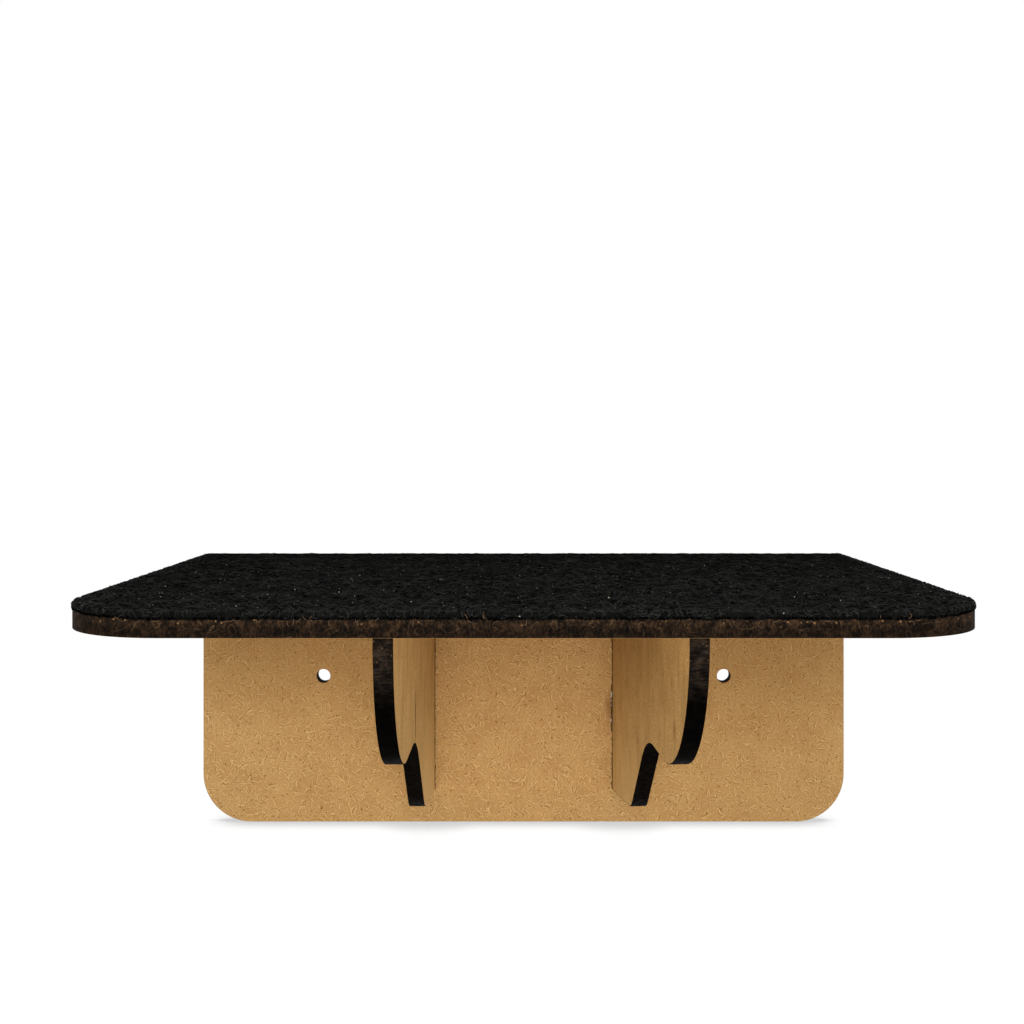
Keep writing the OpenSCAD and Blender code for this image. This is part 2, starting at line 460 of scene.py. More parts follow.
@dataclass(frozen=True)
class LaserCutEdge:
    """Edge of fibreboard as the laser leaves it.

    The beam chars the fibres, so the eye sees soot and dark brown in fine streaks that run
    across the thickness, with a few tan fibres that escaped the heat, and hardly any shine.
    Its colour is scaled from low_light at low_z up to high_light at high_z, so it darkens
    downwards; on the brackets this is painted shade, where the nose turns away from the lamps.
    Marks laid over it last are painted glints, reflections and sheen, with a few plain tints.
    """

    name: str
    thickness: Axis
    low_z: float = 0.0
    high_z: float = 1.0
    low_light: float = 0.4
    high_light: float = 0.4
    crumb_share: float = 0.0
    spared_share: float = 0.5
    streak_length: float = 4.0
    # Painted glints and sheen, and plain tints, laid over the colour after its light
    glints_and_tints: tuple[StainShadeAndGlint, ...] = ()
    soot: str = "#080605"
    char: str = "#1d150e"
    brown: str = "#3a2a1c"
    burn_stops: tuple[float, float, float] = (0.36, 0.49, 0.63)
    blotch_share: float = 0.5
    spared_fibre: str = "#7d6148"
    crumb: str = "#96704a"
    fibres: tuple[FibreStrokes, ...] = (
        FibreStrokes(spacing_mm=4.4, radius_mm=(2.5, 5.0), width_mm=0.32, seed=8),
        FibreStrokes(spacing_mm=5.6, radius_mm=(3.0, 7.0), width_mm=0.32, seed=9),
    )
    wave_mm: Range = (5.0, 4.5)
    crumbs: Dots = Dots(spacing_mm=3.4, width_mm=1.25, seed=10)
    streak_mm: float = 0.9
    blotch_mm: float = 5.0
    glint_limits: Range = (0.3, 0.75)
    surface: Surface = Surface(roughness=0.85, shine=0.04, relief=0.12 * MM)

    def make(self) -> bpy.types.Material:
        """Builds the material and returns it."""
        material, tree = new_material(self.name)
        place = add_node(tree, "TexCoord")["Object"]
        stretch = EVERY_WAY - self.thickness.value * (1 - 1 / self.streak_length)
        drawn = add_node(tree, "Mapping", {"Vector": place, "Scale": stretch})["Vector"]
        streaks = {"Vector": drawn, "Scale": per_metre(self.streak_mm), "Detail": 3.0}
        streak = add_node(tree, "TexNoise", streaks)["Fac"]
        blotches = {"Vector": place, "Scale": per_metre(self.blotch_mm), "Detail": 4.0}
        blotch = add_node(tree, "TexNoise", blotches)["Fac"]
        links = {MIX_FACTOR: self.blotch_share, MIX_FLOAT_A: streak, MIX_FLOAT_B: blotch}
        burn = add_node(tree, "Mix", links, data_type="FLOAT")[MIX_FLOAT_RESULT]
        stops = zip(self.burn_stops, (self.soot, self.char, self.brown))
        colour = add_node(tree, "ValToRGB", {"Fac": burn}, stops=stops)["Color"]
        wavy = ruffle(tree, place, *self.wave_mm)
        fibres = strongest(tree, [layer.draw(tree, wavy, EVERY_WAY)[0] for layer in self.fibres])
        colour = lay_over(tree, colour, fibres, self.spared_share, self.spared_fibre)
        height = add_node(tree, "SeparateXYZ", {"Vector": place})["Z"]
        rise = between(tree, height, self.low_z, self.high_z)
        if self.crumb_share:
            ragged = add_node(tree, "Math", {0: rise, 1: streak}, operation="MULTIPLY")[0]
            dots = self.crumbs.draw(tree, place)
            crumbs = add_node(tree, "Math", {0: dots, 1: ragged}, operation="MULTIPLY")[0]
            colour = lay_over(tree, colour, crumbs, self.crumb_share, self.crumb)
        # The colour is scaled by height, darker lower down: painted shade on the brackets
        lights = {"Value": rise, "To Min": self.low_light, "To Max": self.high_light}
        light = add_node(tree, "MapRange", lights)[0]
        colour = add_node(tree, "VectorMath", {0: colour, "Scale": light}, operation="SCALE")[0]
        # Painted glints and sheen, and plain tints, broken up by the streaks
        broken = between(tree, streak, *self.glint_limits)
        for glint in self.glints_and_tints:
            mark = add_node(tree, "Math", {0: glint.draw(tree, wavy), 1: broken}, operation="MULTIPLY")[0]
            colour = lay_over(tree, colour, mark, glint.share, glint.code)
        self.surface.close(tree, colour, streak)
        return material


@dataclass(frozen=True)
class NeedledFelt:
    """Ground of a needle-punched polypropylene carpet, dyed black.

    Barbed needles mat the fibres together, so the eye sees a deep black ground with faint
    grey curls in it, and no shine. It is darker down its edge and along the wall: painted shade.
    """

    name: str = "needled_black_felt"
    deep: str = "#0c0c0b"
    surface_black: str = "#292928"
    curl: str = "#3b3b39"
    curl_share: float = 0.7
    lump_mm: float = 2.2
    lump_stops: Range = (0.35, 0.68)
    # Painted shade down the edge and along the wall
    painted_shade_share: float = 0.75
    edge_drop: float = 2.1 * MM
    rear_shade_black: str = "#040404"
    rear_shade_reach: float = 12.0 * MM
    curls: FibreStrokes = FibreStrokes(spacing_mm=5.0, radius_mm=(2.0, 5.0), width_mm=0.5, seed=11)
    surface: Surface = Surface(roughness=0.95, shine=0.0, relief=0.35 * MM)

    def make(self) -> bpy.types.Material:
        """Builds the material and returns it."""
        material, tree = new_material(self.name)
        place = add_node(tree, "TexCoord")["Object"]
        links = {"Vector": place, "Scale": per_metre(self.lump_mm), "Detail": 3.0}
        lumps = add_node(tree, "TexNoise", links)["Fac"]
        stops = zip(self.lump_stops, (self.deep, self.surface_black))
        ground = add_node(tree, "ValToRGB", {"Fac": lumps}, stops=stops)["Color"]
        curls, _ = self.curls.draw(tree, place, EVERY_WAY)
        colour = lay_over(tree, ground, curls, self.curl_share, self.curl)
        where = add_node(tree, "SeparateXYZ", {"Vector": place})
        top, wall = CAD_BOX[1].z, CAD_BOX[1].y
        # Painted shade down the edge and along the wall
        edge = between(tree, where["Z"], top - self.edge_drop / 2, top - self.edge_drop)
        colour = lay_over(tree, colour, edge, self.painted_shade_share, self.deep)
        rear = between(tree, where["Y"], wall - self.rear_shade_reach, wall - self.rear_shade_reach / 3)
        colour = lay_over(tree, colour, rear, self.painted_shade_share, self.rear_shade_black)
        height = add_node(tree, "Math", {0: lumps, 1: curls}, operation="ADD")[0]
        self.surface.close(tree, colour, height)
        return material


@dataclass(frozen=True)
class EvenTint:
    """Finish of fibres and crumbs too small to show more than one tint, with no shine."""

    name: str
    tint: str
    roughness: float = 0.9

    def make(self) -> bpy.types.Material:
        """Builds the material and returns it."""
        material, tree = new_material(self.name)
        links = {"Base Color": linear(self.tint), "Roughness": self.roughness, "Specular IOR Level": 0.0}
        shader = add_node(tree, "BsdfPrincipled", links)["BSDF"]
        add_node(tree, "OutputMaterial", {"Surface": shader})
        return material


def put_in_scene(name: str, data: bpy.types.ID) -> bpy.types.Object:
    """Makes an object of a mesh, a curve, a lamp or a camera, puts it in the scene and returns it."""
    made = bpy.data.objects.new(name, data)
    bpy.context.scene.collection.objects.link(made)
    return made


def mesh_of(name: str, shape: bmesh.types.BMesh) -> bpy.types.Mesh:
    """Turns a finished shape into a mesh, frees the shape and returns the mesh."""
    mesh = bpy.data.meshes.new(name)
    shape.to_mesh(mesh)
    shape.free()
    return mesh


def add_piece(
    name: str,
    mesh: bpy.types.Mesh,
    finishes: Iterable[bpy.types.Material],
    replaced: str | None = None,
) -> bpy.types.Object:
    """Puts a finished mesh in the scene as a piece of the shelf.

    Args:
        name: The piece's name.
        mesh: Its mesh, already in place.
        finishes: Its materials, in the order of the mesh's material numbers.
        replaced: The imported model's node that it stands for, if any.

    Returns:
        The piece's object.
    """
    for material in finishes:
        mesh.materials.append(material)
    piece = put_in_scene(name, mesh)
    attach(piece, ROOT)
    if replaced:
        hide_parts(replaced)
    LOG.info("%s: %d faces", name, len(mesh.polygons))
    return piece


def add_strands(
    name: str, strands: Sequence[Strand], width: float, finish: EvenTint
) -> bpy.types.Object:
    """Makes one piece of many thin round fibres.

    Args:
        name: The piece's name.
        strands: The points of each fibre.
        width: The fibres' width.
        finish: Their finish.

    Returns:
        The piece's object.
    """
    curve = bpy.data.curves.new(name, "CURVE")
    curve.dimensions = "3D"
    curve.bevel_depth = width / 2
    curve.bevel_resolution = 0
    curve.use_fill_caps = True
    for points in strands:
        spline = curve.splines.new("POLY")
        spline.points.add(len(points) - 1)
        spline.points.foreach_set("co", [c for p in points for c in (p.x, p.y, p.z, 1.0)])
    holder = put_in_scene(name, curve)
    graph = bpy.context.evaluated_depsgraph_get()
    mesh = bpy.data.meshes.new_from_object(holder.evaluated_get(graph))
    bpy.data.objects.remove(holder)
    bpy.data.curves.remove(curve)
    for face in mesh.polygons:
        face.use_smooth = True
    mesh.name = name
    return add_piece(name, mesh, [finish.make()])


@dataclass
class CutSheet:
    """A flat piece cut from fibreboard, with its sharp edges just broken."""

    node: str
    piece_name: str
    face: SandedFibreboard
    edge: LaserCutEdge
    scorch_width: float = 0.0
    edge_round: float = 0.25 * MM
    merged_gap: float = 0.001 * MM
    flat_slope: float = math.radians(0.5)
    sharp_angle: float = math.radians(30)
    face_cosine: float = 0.8

    def build(self) -> bpy.types.Object:
        """Makes the sheet from its node, dresses it and returns its object."""
        shape = bmesh.new()
        shape.from_mesh(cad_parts[self.node].data)
        bmesh.ops.remove_doubles(shape, verts=shape.verts, dist=self.merged_gap)
        bmesh.ops.dissolve_limit(
            shape, angle_limit=self.flat_slope, verts=shape.verts, edges=shape.edges
        )
        shape.normal_update()
        if self.scorch_width:
            broad = [f for f in shape.faces if self.is_broad(f)]
            bmesh.ops.inset_region(shape, faces=broad, thickness=self.scorch_width, use_even_offset=True)
        self.break_edges(shape)
        self.mark_finishes(shape)
        mesh = mesh_of(self.piece_name, shape)
        finishes = [self.face.make(), self.edge.make()]
        piece = add_piece(self.piece_name, mesh, finishes, self.node)
        piece.modifiers.new("even_shading", "WEIGHTED_NORMAL").keep_sharp = True
        return piece

    def is_broad(self, face: bmesh.types.BMFace) -> bool:
        """Tells whether a face belongs to one of the sheet's two broad sides."""
        return abs(face.normal.dot(self.edge.thickness.value)) > self.face_cosine

    def break_edges(self, shape: bmesh.types.BMesh) -> None:
        """Rounds every sharp edge of the sheet's shape a little."""
        bmesh.ops.bevel(
            shape,
            geom=[e for e in shape.edges if e.calc_face_angle(0.0) > self.sharp_angle],
            offset=self.edge_round,
            offset_type="OFFSET",
            affect="EDGES",
            segments=2,
            profile=0.5,
            material=-1,
        )
        shape.normal_update()

    def mark_finishes(self, shape: bmesh.types.BMesh) -> None:
        """Numbers the faces' materials, and marks the rim that the beam has scorched.

        Args:
            shape: The sheet's shape, whose rim gets a scorch value of 1.
        """
        scorch = shape.verts.layers.float.new("scorch")
        for face in shape.faces:
            face.smooth = True
            face.material_index = 0 if self.is_broad(face) else 1
        for vertex in shape.verts:
            on_edge = any(f.material_index for f in vertex.link_faces)
            vertex[scorch] = float(on_edge and self.scorch_width > 0)


@dataclass
class JointLine:
    """Char dust in the corner where a bracket's inner face meets the back plate, partly a painted shadow
    of the joint and its gap.
    """

    bracket: str
    seed: int
    bead: float = 0.65 * MM
    tuck: float = 0.13 * MM
    step: float = 1.5 * MM
    unevenness: float = 0.12 * MM
    stretch: Range = (6 * MM, 22 * MM)
    gap: Range = (0.0, 0.8 * MM)
    # Dark dust that also paints the joint's shadow
    dust: EvenTint = EvenTint("char_dust_and_joint_shadow", "#3a2814")
    # Pale crumbs that also paint light showing through the slot's gap
    glue: EvenTint = EvenTint("dried_glue_and_gap_light", "#c8cbd0")
    crumb_width: float = 0.8 * MM
    crumb_aside: float = 0.52 * MM
    # Each crumb's height, as a share of the lower tab's height, and its length
    crumbs: tuple[Range, ...] = ((0.80, 3.6 * MM), (0.55, 0.9 * MM), (0.23, 1.6 * MM), (0.66, 0.7 * MM))
    # Points along a crumb, as shares of its length from its middle
    crumb_points: tuple[float, ...] = (-0.5, -0.1, 0.3, 0.5)

    def __post_init__(self) -> None:
        """Finds the corner and the bracket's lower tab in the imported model."""
        self.draw = random.Random(self.seed)
        points = [v.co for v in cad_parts[self.bracket].data.vertices]
        rear = [p for p in points if abs(p.y - PLATE_FRONT) < MM]
        self.side = math.copysign(1.0, rear[0].x)
        self.x = self.side * min(abs(p.x) for p in rear)
        self.low = min(p.z for p in rear)
        self.high = max(p.z for p in rear)
        middle = (self.low + self.high) / 2
        tab = [p.z for p in points if p.y > PLATE_FRONT + MM and p.z < middle]
        self.tab_low, self.tab_high = min(tab), max(tab)

    def spot(self, z: float) -> Vector:
        """Gives a point just in the corner, at a height."""
        away = Vector((self.draw.gauss(0, self.unevenness), self.draw.gauss(0, self.unevenness), 0))
        return Vector((self.x - self.side * self.tuck, PLATE_FRONT - self.tuck, z)) + away

    def smoke(self) -> StainShadeAndGlint:
        """Gives the smoke's cloud on the back plate, beside the bracket's lower slot."""
        centre = (self.x / MM, PLATE_FRONT / MM, (self.tab_low + self.tab_high) / 2 / MM)
        return StainShadeAndGlint(centre, reach_mm=(6, 9, 20), code="#7a5228", share=0.6)

    def build(self) -> bpy.types.Object:
        """Lays the dust, partly a painted shadow, along the corner, in uneven stretches, and returns its
        object.
        """
        strands = []
        top = self.high - self.bead
        while top > self.low + self.bead:
            bottom = max(top - self.draw.uniform(*self.stretch), self.low + self.bead / 2)
            count = max(2, round((top - bottom) / self.step) + 1)
            strands.append([self.spot(top + (bottom - top) * i / (count - 1)) for i in range(count)])
            top = bottom - self.draw.uniform(*self.gap)
        return add_strands(f"joint_char_and_shadow_{self.bracket}", strands, self.bead, self.dust)

    def add_crumbs(self) -> bpy.types.Object:
        """Drops a few pale crumbs of dried glue beside the lower slot, painted light that shows through
        the slot's gap, and returns their object.
        """
        aside = Vector((self.side * self.crumb_aside, 0, 0))
        strands = []
        for share, length in self.crumbs:
            z = self.tab_low + (self.tab_high - self.tab_low) * share
            strands.append([self.spot(z + length * part) - aside for part in self.crumb_points])
        return add_strands("glue_crumbs_and_gap_light", strands, self.crumb_width, self.glue)


@dataclass
class FibreboardKit:
    """The board, the back plate and the two brackets, with the marks that each of them has and the
    painted light and shade laid on them.
    """

    scorch_width: float = 1.3 * MM
    bracket_round: float = 0.4 * MM
    bracket_face_cosine: float = 0.99
    board_face: SandedFibreboard = SandedFibreboard("raw_sanded_fibreboard", Axis.Z)
    # Brown, lighter and crumbly along its top and darker below, with a painted grey sheen round the two
    # front corners, where the edge is seen at a grazing angle
    board_edge: LaserCutEdge = LaserCutEdge(
        "laser_cut_board_edge",
        Axis.Z,
        low_z=BOARD_LOW.z + 3 * MM,
        high_z=BOARD_HIGH.z - 2 * MM,
        low_light=0.7,
        high_light=1.4,
        crumb_share=1.0,
        spared_share=0.3,
        streak_length=1.5,
        glints_and_tints=tuple(
            StainShadeAndGlint((x / MM, -245, BOARD_HIGH.z / MM), (12, 60, 60), "#262728", 1.0)
            for x in (BOARD_LOW.x, BOARD_HIGH.x)
        ),
    )
    # Painted shade: the plate darkens upwards on both sides, under the board, and a little at its lower
    # right
    plate_shades: tuple[StainShadeAndGlint, ...] = (
        StainShadeAndGlint((-155, PLATE_FRONT / MM, 40), (130, 40, 90), "#6a4410", 0.42),
        StainShadeAndGlint((160, PLATE_FRONT / MM, 40), (130, 40, 110), "#6a4410", 0.42),
        StainShadeAndGlint((170, PLATE_FRONT / MM, -60), (130, 40, 90), "#7c5526", 0.12),
    )
    plate_edge: LaserCutEdge = LaserCutEdge("laser_cut_plate_edge", Axis.Y)
    # A paler foot, painted light from the floor, and a split by the hollow; its clouds are lighter than
    # the right face's, painted light from the lamps
    left_face: SandedFibreboard = SandedFibreboard(
        "raw_fibreboard_lit_side",
        Axis.X,
        streak_share=0.35,
        stains=(
            StainShadeAndGlint((-56, -60, -71), (30, 150, 75), "#ddbd82", 0.6),
            StainShadeAndGlint((-56, -153, 3), (9, 3, 22), "#3c240e", 1.0),
        ),
        light_cloud="#cba86c",
        dark_cloud="#c09c60",
        streak="#94743f",
    )
    # Painted shade at the root, under the board, a paler foot, painted light from the floor, and a streak
    # of resin; its clouds are darker than the left face's, painted shade
    right_face: SandedFibreboard = SandedFibreboard(
        "raw_fibreboard_shaded_side",
        Axis.X,
        streak_share=0.35,
        stains=(
            StainShadeAndGlint((62, -90, 50), (40, 220, 70), "#6a4418", 0.35),
            StainShadeAndGlint((60, -60, -71), (30, 150, 75), "#ddbd82", 0.35),
            StainShadeAndGlint((70, -231, 12), (9, 5, 7), "#85531f", 0.6),
        ),
        light_cloud="#c4a063",
        dark_cloud="#b99458",
        streak="#94743f",
    )
    # Painted shade: black below and browner towards the board; a brown tint in the hollow lightens it
    # there, and painted grey glints, reflections of the floor, lie on the nose and foot
    bracket_edge: LaserCutEdge = LaserCutEdge(
        "laser_cut_bracket_edge",
        Axis.X,
        low_z=26 * MM,
        high_z=54 * MM,
        low_light=0.06,
        high_light=1.0,
        crumb_share=0.45,
        spared_share=0.1,
        glints_and_tints=(
            StainShadeAndGlint((0, -110, -36), (200, 60, 50), "#1b1510", 0.6),
            StainShadeAndGlint((0, -222, -9), (200, 60, 12), "#303132", 1.0),
            StainShadeAndGlint((0, -80, -67), (200, 60, 19), "#323436", 1.0),
        ),
        char="#1b1714",
        brown="#352c24",
        surface=Surface(roughness=0.85, shine=0.008, relief=0.12 * MM),
    )

    def build(self) -> bpy.types.Object:
        """Makes the sheets and what lies in their corners, and returns the board's object."""
        joints = [JointLine("left_bracket", seed=3), JointLine("right_bracket", seed=4)]
        stains = (joints[1].smoke(), *self.plate_shades)
        # The plate's face has the smoke beside the lower slot, and painted shade under the board
        plate_face = SandedFibreboard("raw_fibreboard_smoked_and_shaded", Axis.Y, stains=stains)
        board = CutSheet(
            "shelf_board", "charred_edge_board", self.board_face, self.board_edge, self.scorch_width
        ).build()
        CutSheet("back_plate", "wall_plate", plate_face, self.plate_edge, self.scorch_width).build()
        for joint, face in zip(joints, (self.left_face, self.right_face)):
            CutSheet(
                joint.bracket,
                "cut_" + joint.bracket,
                face,
                self.bracket_edge,
                edge_round=self.bracket_round,
                face_cosine=self.bracket_face_cosine,
            ).build()
        for joint in joints:
            joint.build()
        joints[1].add_crumbs()
        return board


@dataclass
class CarpetMat:
    """Needle-punched carpet glued on the board, its edge rolled over the board's rim."""

    node: str = "carpet_mat"
    cell: float = 1.25 * MM
    nap_lump: float = 2.6 * MM
    nap_height: float = 0.28 * MM
    nap_drop: float = 0.55 * MM
    # Scale and share of the wider lumps among the nap's
    nap_wide: Range = (0.3, 0.8)
    roll: float = 1.5 * MM
    roll_steps: int = 4
    # Shares of the edge's straight part at which it has a ring of vertices
    straight_rings: tuple[float, ...] = (0.33, 0.66, 0.9, 1.0)
    bulge: float = 0.2 * MM
    lip_gap: float = 0.05 * MM
    lip_reach: float = 2.0 * MM
    lip_fade: float = 6.0 * MM
    front_hang: float = 1.3 * MM
    # Below zero, so that along the sides only the fullest tufts hang past the board's rim
    side_hang: float = -0.4 * MM
    tuft_width: float = 3.4 * MM
    tuft_depth: float = 0.45 * MM
    # Scale and share of the finer tufts among the edge's
    tuft_fine: Range = (2.7, 0.5)
    tuft_swell: float = 0.4
    rear_margin: float = 0.2 * MM
    touch: float = 0.01 * MM

    def __post_init__(self) -> None:
        """Reads the mat's outline from its node; the rim is where its edge begins to roll."""
        self.low, self.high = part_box(self.node)
        outline = [v.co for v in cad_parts[self.node].data.vertices]
        front = [p.x for p in outline if p.y < self.low.y + self.touch]
        self.corner = self.high.x - max(front)
        self.straight_x = self.high.x - self.corner
        self.straight_y = self.low.y + self.corner
        self.top = self.high.z
        self.thick = self.high.z - self.low.z
        self.inset = self.roll - self.bulge
        self.rim_corner = self.corner - self.inset
        self.rim_x = self.high.x - self.inset
        self.rim_y = self.low.y + self.inset
        self.band = QUARTER_TURN * self.roll

    def past_corner(self, x: float, y: float) -> Vector:
        """Gives how far a point reaches past the centre of its front corner, along X and Y."""
        return Vector((max(abs(x) - self.straight_x, 0.0), max(self.straight_y - y, 0.0)))

    def outward(self, x: float, y: float) -> Vector:
        """Gives the level direction out of the mat at a point of its rim.

        Args:
            x: The point's place along X.
            y: The point's place along Y.

        Returns:
            A unit vector, or a zero vector on the rear edge, which lies along the wall.
        """
        past = self.past_corner(x, y)
        side = math.copysign(1.0, x)
        if past.x > 0 and past.y > 0:
            past.normalize()
            return Vector((side * past.x, -past.y, 0))
        if past.y >= self.rim_corner - self.touch:
            return Vector((0, -1, 0))
        if past.x >= self.rim_corner - self.touch:
            return Vector((side, 0, 0))
        return Vector((0, 0, 0))

    def nap(self, x: float, y: float) -> float:
        """Gives the height of the felt's uneven top at a point."""
        spot = Vector((x, y, 0)) / self.nap_lump
        scale, share = self.nap_wide
        lumps = noise.noise(spot) + share * noise.noise(spot * scale)
        return self.top - self.nap_drop + self.nap_height * lumps

    def tuft(self, rim: Vector) -> float:
        """Gives how full the carpet's edge is at a point of the rim, from about -1 to 1."""
        spot = rim / self.tuft_width
        scale, share = self.tuft_fine
        return noise.noise(spot) + share * noise.noise(spot * scale)

    def hang(self, rim: Vector, away: Vector) -> float:
        """Gives how far the edge hangs below the board's rim, given its rim point and way out."""
        hang = self.side_hang + (self.front_hang - self.side_hang) * max(-away.y, 0.0)
        fade = min(max((self.high.y - rim.y) / self.lip_fade, 0.0), 1.0)
        return max((hang + self.tuft_depth * self.tuft(rim)) * fade, 0.0)

    def edge_drop(self, rim: Vector, away: Vector) -> float:
        """Gives how far the edge's straight part runs below its roll, at a point of the rim."""
        return self.thick + self.hang(rim, away) - self.nap_drop - self.roll

    def over_edge(self, rim: Vector, away: Vector, turn: float, straight: float, lift: float) -> Vector:
        """Places a point on the rolled edge.

        Args:
            rim: The point of the rim that it belongs to.
            away: The way out of the mat there.
            turn: How far round the roll it lies, from 0 at the top to a quarter turn.
            straight: How far below the roll it lies.
            lift: Its height above the edge's surface.

        Returns:
            The point.
        """
        fullness = self.tuft(rim) * self.tuft_depth * self.tuft_swell * math.sin(turn)
        out = (self.roll + lift) * math.sin(turn) + fullness
        up = (self.roll + lift) * math.cos(turn) - self.roll - straight
        return Vector((rim.x, rim.y, self.top - self.nap_drop)) + away * out + Vector((0, 0, up))

    def build(self, finish: NeedledFelt) -> bpy.types.Object:
        """Makes the felt itself: an uneven top, and an edge rolled over the board's rim.

        Args:
            finish: The felt's finish.

        Returns:
            The felt's object.
        """
        width = 2 * self.rim_x
        depth = self.high.y - self.rim_y
        shape = bmesh.new()
        bmesh.ops.create_grid(
            shape, x_segments=round(width / self.cell), y_segments=round(depth / self.cell), size=0.5
        )
        bmesh.ops.scale(shape, vec=(width, depth, 1), verts=shape.verts)
        middle = (0, (self.rim_y + self.high.y) / 2, self.top)
        bmesh.ops.translate(shape, vec=middle, verts=shape.verts)
        for vertex in shape.verts:
            past = self.past_corner(vertex.co.x, vertex.co.y)
            if past.x > 0 and past.y > 0:
                past *= max(past) / past.length
                vertex.co.x = math.copysign(self.straight_x + past.x, vertex.co.x)
                vertex.co.y = self.straight_y - past.y
        self.roll_edge(shape)
        mesh = mesh_of("carpet_felt", shape)
        return add_piece("carpet_felt", mesh, [finish.make()], self.node)

    def roll_edge(self, shape: bmesh.types.BMesh) -> None:
        """Gives the flat grid its edge and underside, and its uneven top.

        Args:
            shape: The grid, which becomes a closed sheet.
        """
        rim = shape.verts.layers.float_vector.new("rim")
        for vertex in shape.verts:
            vertex[rim] = vertex.co
            vertex.co.z = self.nap(vertex.co.x, vertex.co.y)
        edges = [e for e in shape.edges if e.is_boundary]
        rings = [(QUARTER_TURN * (i + 1) / self.roll_steps, 0.0) for i in range(self.roll_steps)]
        rings += [(QUARTER_TURN, share) for share in self.straight_rings]
        for turn, share in rings:
            edges, fresh = self.add_ring(shape, edges)
            for vertex, start, away in fresh:
                straight = share * self.edge_drop(start, away)
                vertex.co = self.over_edge(start, away, turn, straight, lift=0.0)
        lip = self.inset + self.lip_gap
        under = self.top - self.thick + self.lip_gap
        for out, share in ((lip, 1.0), (lip, 0.0), (-self.lip_reach, 0.0)):
            edges, fresh = self.add_ring(shape, edges)
            for vertex, start, away in fresh:
                height = under - share * self.hang(start, away)
                vertex.co = Vector((start.x, start.y, height)) + away * out
        bmesh.ops.contextual_create(shape, geom=edges)
        bmesh.ops.recalc_face_normals(shape, faces=shape.faces)
        for face in shape.faces:
            face.smooth = True

    def add_ring(
        self, shape: bmesh.types.BMesh, edges: list[bmesh.types.BMEdge]
    ) -> tuple[list[bmesh.types.BMEdge], list[tuple[bmesh.types.BMVert, Vector, Vector]]]:
        """Extrudes the open edge of the felt once.

        Args:
            shape: The felt's shape.
            edges: Its open edges.

        Returns:
            The new open edges, and each new vertex with its rim point and the way out there.
        """
        rim = shape.verts.layers.float_vector["rim"]
        made = bmesh.ops.extrude_edge_only(shape, edges=edges)["geom"]
        fresh = []
        for vertex in (v for v in made if isinstance(v, bmesh.types.BMVert)):
            start = Vector(vertex[rim])
            fresh.append((vertex, start, self.outward(start.x, start.y)))
        return [e for e in made if isinstance(e, bmesh.types.BMEdge) and e.is_boundary], fresh

    def holds(self, x: float, y: float) -> bool:
        """Tells whether a point lies inside the mat's rim."""
        past = self.past_corner(x, y)
        if past.x > 0 and past.y > 0:
            return past.length <= self.rim_corner
        return self.rim_y <= y <= self.high.y - self.rear_margin and abs(x) <= self.rim_x

    def rim_length(self) -> float:
        """Gives the length of the rim along the mat's two sides, front corners and front edge."""
        return 2 * (self.high.y - self.straight_y + self.straight_x) + math.pi * self.rim_corner

    def rim_point(self, run: float) -> tuple[Vector, Vector]:
        """Walks round the mat from its right rear corner, along the front, to its left one.

        Args:
            run: Distance along the rim.

        Returns:
            The point of the rim, at the height of the mat's top, and the way out of it.
        """
        whole = self.rim_length()
        side = 1.0 if run < whole / 2 else -1.0
        run = min(run, whole - run)
        straight = self.high.y - self.straight_y
        arc = QUARTER_TURN * self.rim_corner
        if run < straight:
            return Vector((side * self.rim_x, self.high.y - run, self.top)), Vector((side, 0, 0))
        if run < straight + arc:
            turn = (run - straight) / self.rim_corner
            out = Vector((side * math.cos(turn), -math.sin(turn), 0))
            centre = Vector((side * self.straight_x, self.straight_y, self.top))
            return centre + out * self.rim_corner, out
        rest = self.straight_x - (run - straight - arc)
        return Vector((side * rest, self.rim_y, self.top)), Vector((0, -1, 0))


    def round_edge(self, run: float, down: float, lift: float) -> Vector:
        """Places a point near the rim.

        Args:
            run: Distance along the rim.
            down: Distance from the rim round the roll and down, or back over the top if negative.
            lift: Height above the felt.

        Returns:
            The point.
        """
        rim, away = self.rim_point(run)
        if down < 0:
            spot = rim + away * down
            return Vector((spot.x, spot.y, self.nap(spot.x, spot.y) + lift))
        turn = min(down, self.band) / self.roll
        return self.over_edge(rim, away, turn, max(down - self.band, 0.0), lift)


@dataclass(frozen=True)
class CurlShape:
    """Least and greatest length and bending radius of a kind of fibre."""

    length: Range = (3.5 * MM, 9.0 * MM)
    radius: Range = (1.2 * MM, 4.0 * MM)


@dataclass(frozen=True)
class CurlBatch:
    """One tint of loose curls, with how many lie on the carpet's top and round its edge."""

    name: str
    finish: EvenTint
    top_count: int
    edge_count: int
    width: float
    rise: float
    shape: CurlShape = CurlShape()
    on_rear: bool = False


@dataclass(frozen=True)
class Fringe:
    """Fibres that hang down the carpet's edge, between shares of its straight part."""

    name: str
    finish: EvenTint
    count: int
    top: float
    foot: Range


SHORT_CURL = CurlShape(length=(2.0 * MM, 5.0 * MM))
LONG_CURL = CurlShape(length=(7.0 * MM, 15.0 * MM), radius=(2.5 * MM, 6.0 * MM))
SPECK = CurlShape(length=(0.3 * MM, 0.8 * MM))


